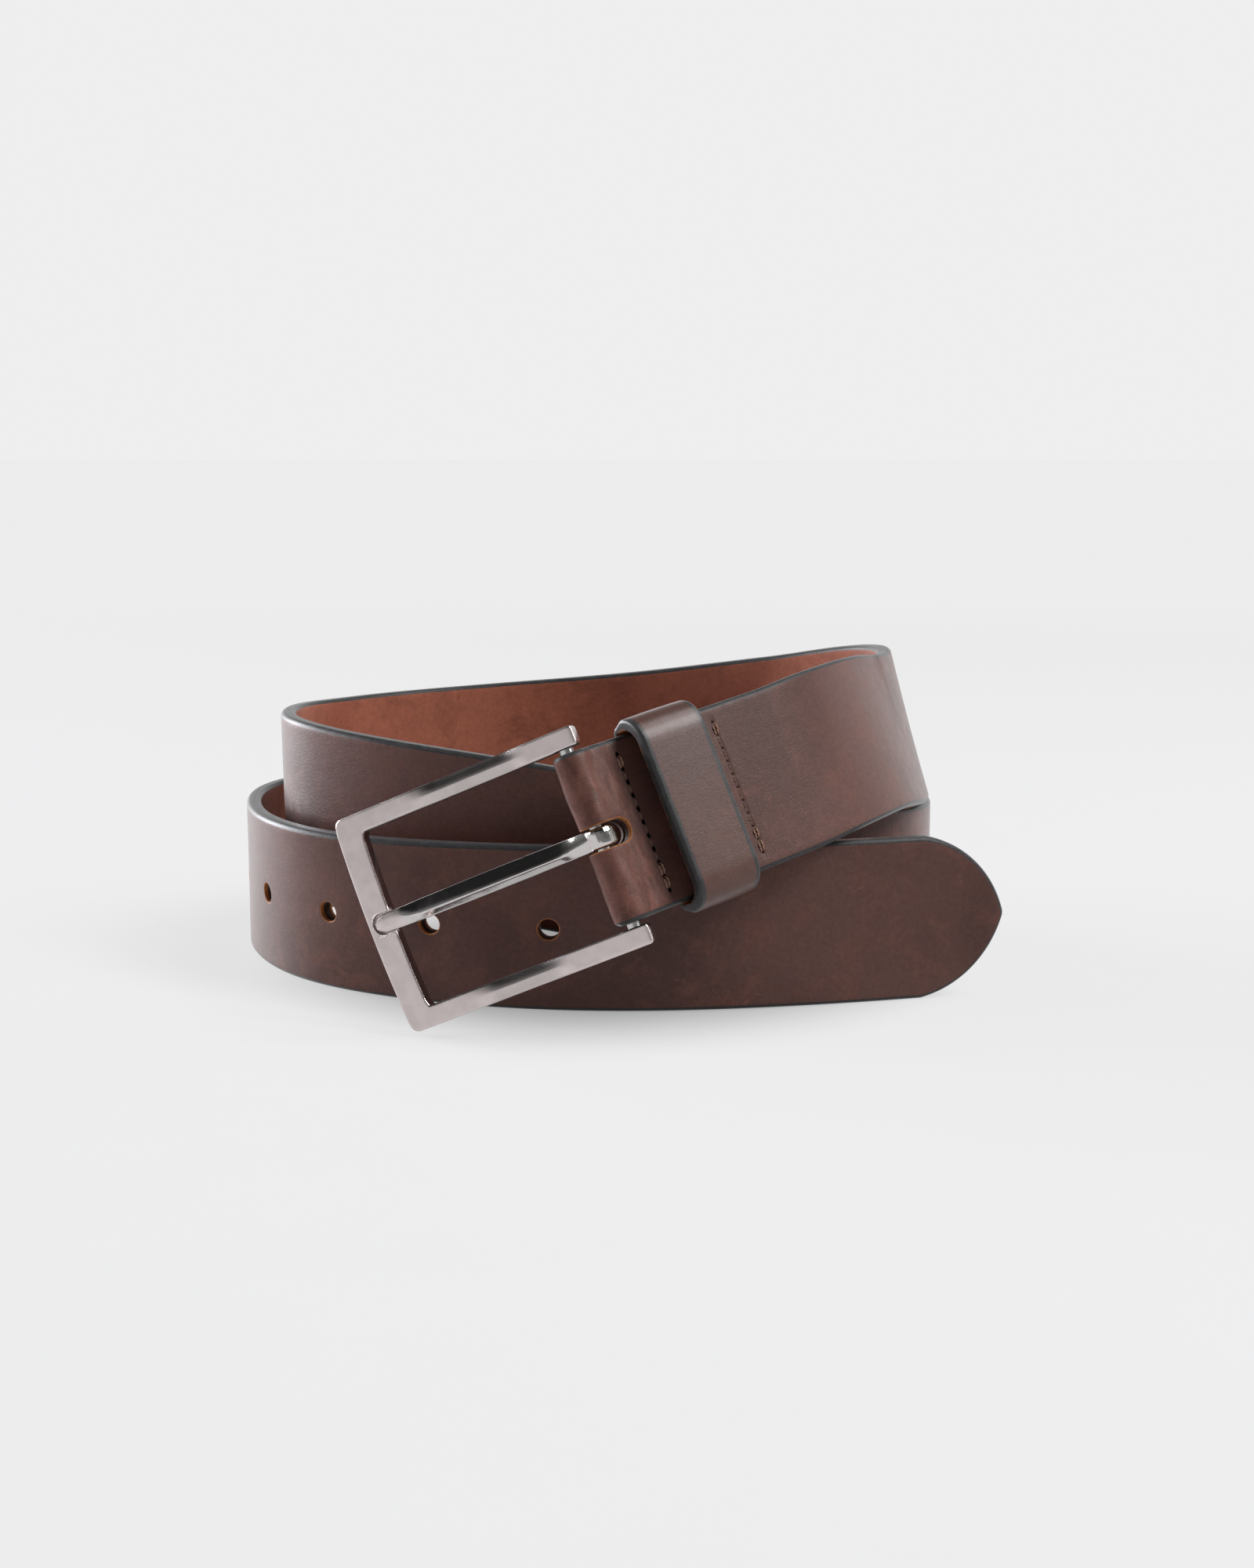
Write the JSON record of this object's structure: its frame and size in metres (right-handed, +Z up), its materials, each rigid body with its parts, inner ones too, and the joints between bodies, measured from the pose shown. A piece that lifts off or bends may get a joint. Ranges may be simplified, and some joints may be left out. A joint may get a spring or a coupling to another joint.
{
  "type": "leather belt",
  "caption": "Coiled leather dress belt standing on its edge, with a rectangular frame buckle, turning prong, sliding keeper and punched holes.",
  "frame": {"origin": "on the ground, under the middle of the belt's box", "axes": "+X to the right along the front of the coil, +Y to the back, +Z up along the strap's width"},
  "size_m": [0.1703, 0.1588, 0.0712],
  "materials": {
    "grain_leather": "dark brown smooth grain, semi-matt",
    "lining_leather": "cognac lining, semi-matt",
    "satin_metal": "satin nickel with a dark, slightly warm tint",
    "steel": "plain steel",
    "thread": "waxed dark brown thread"
  },
  "bodies": {
    "strap": {"strap_outer": "grain_leather", "strap_lining": "lining_leather", "row_1_needle_thread": "thread", "row_1_bobbin_thread": "thread", "row_2_needle_thread": "thread", "row_2_bobbin_thread": "thread"},
    "frame": {"buckle_frame": "satin_metal", "buckle_bar": "steel"},
    "prong": {"prong": "satin_metal"},
    "keeper": {"keeper": "grain_leather", "keeper_staples": "steel"}
  },
  "joints": [
    {"name": "frame_swing", "type": "hinge", "parent": "strap", "child": "frame", "pos_m": [-0.0006, -0.073, 0.04081], "axis": [-0.3617, 0.1802, 0.9147], "range_deg": [-12, 95]},
    {"name": "prong_swing", "type": "hinge", "parent": "frame", "child": "prong", "pos_m": [-0.0006, -0.073, 0.04081], "axis": [-0.3617, 0.1802, 0.9147], "range_deg": [0, 85]},
    {"name": "keeper_slide", "type": "slide", "parent": "strap", "child": "keeper", "axis": [0.7927, 0.5759, 0.2], "range_m": [-0.0006, 0.0034]}
  ]
}
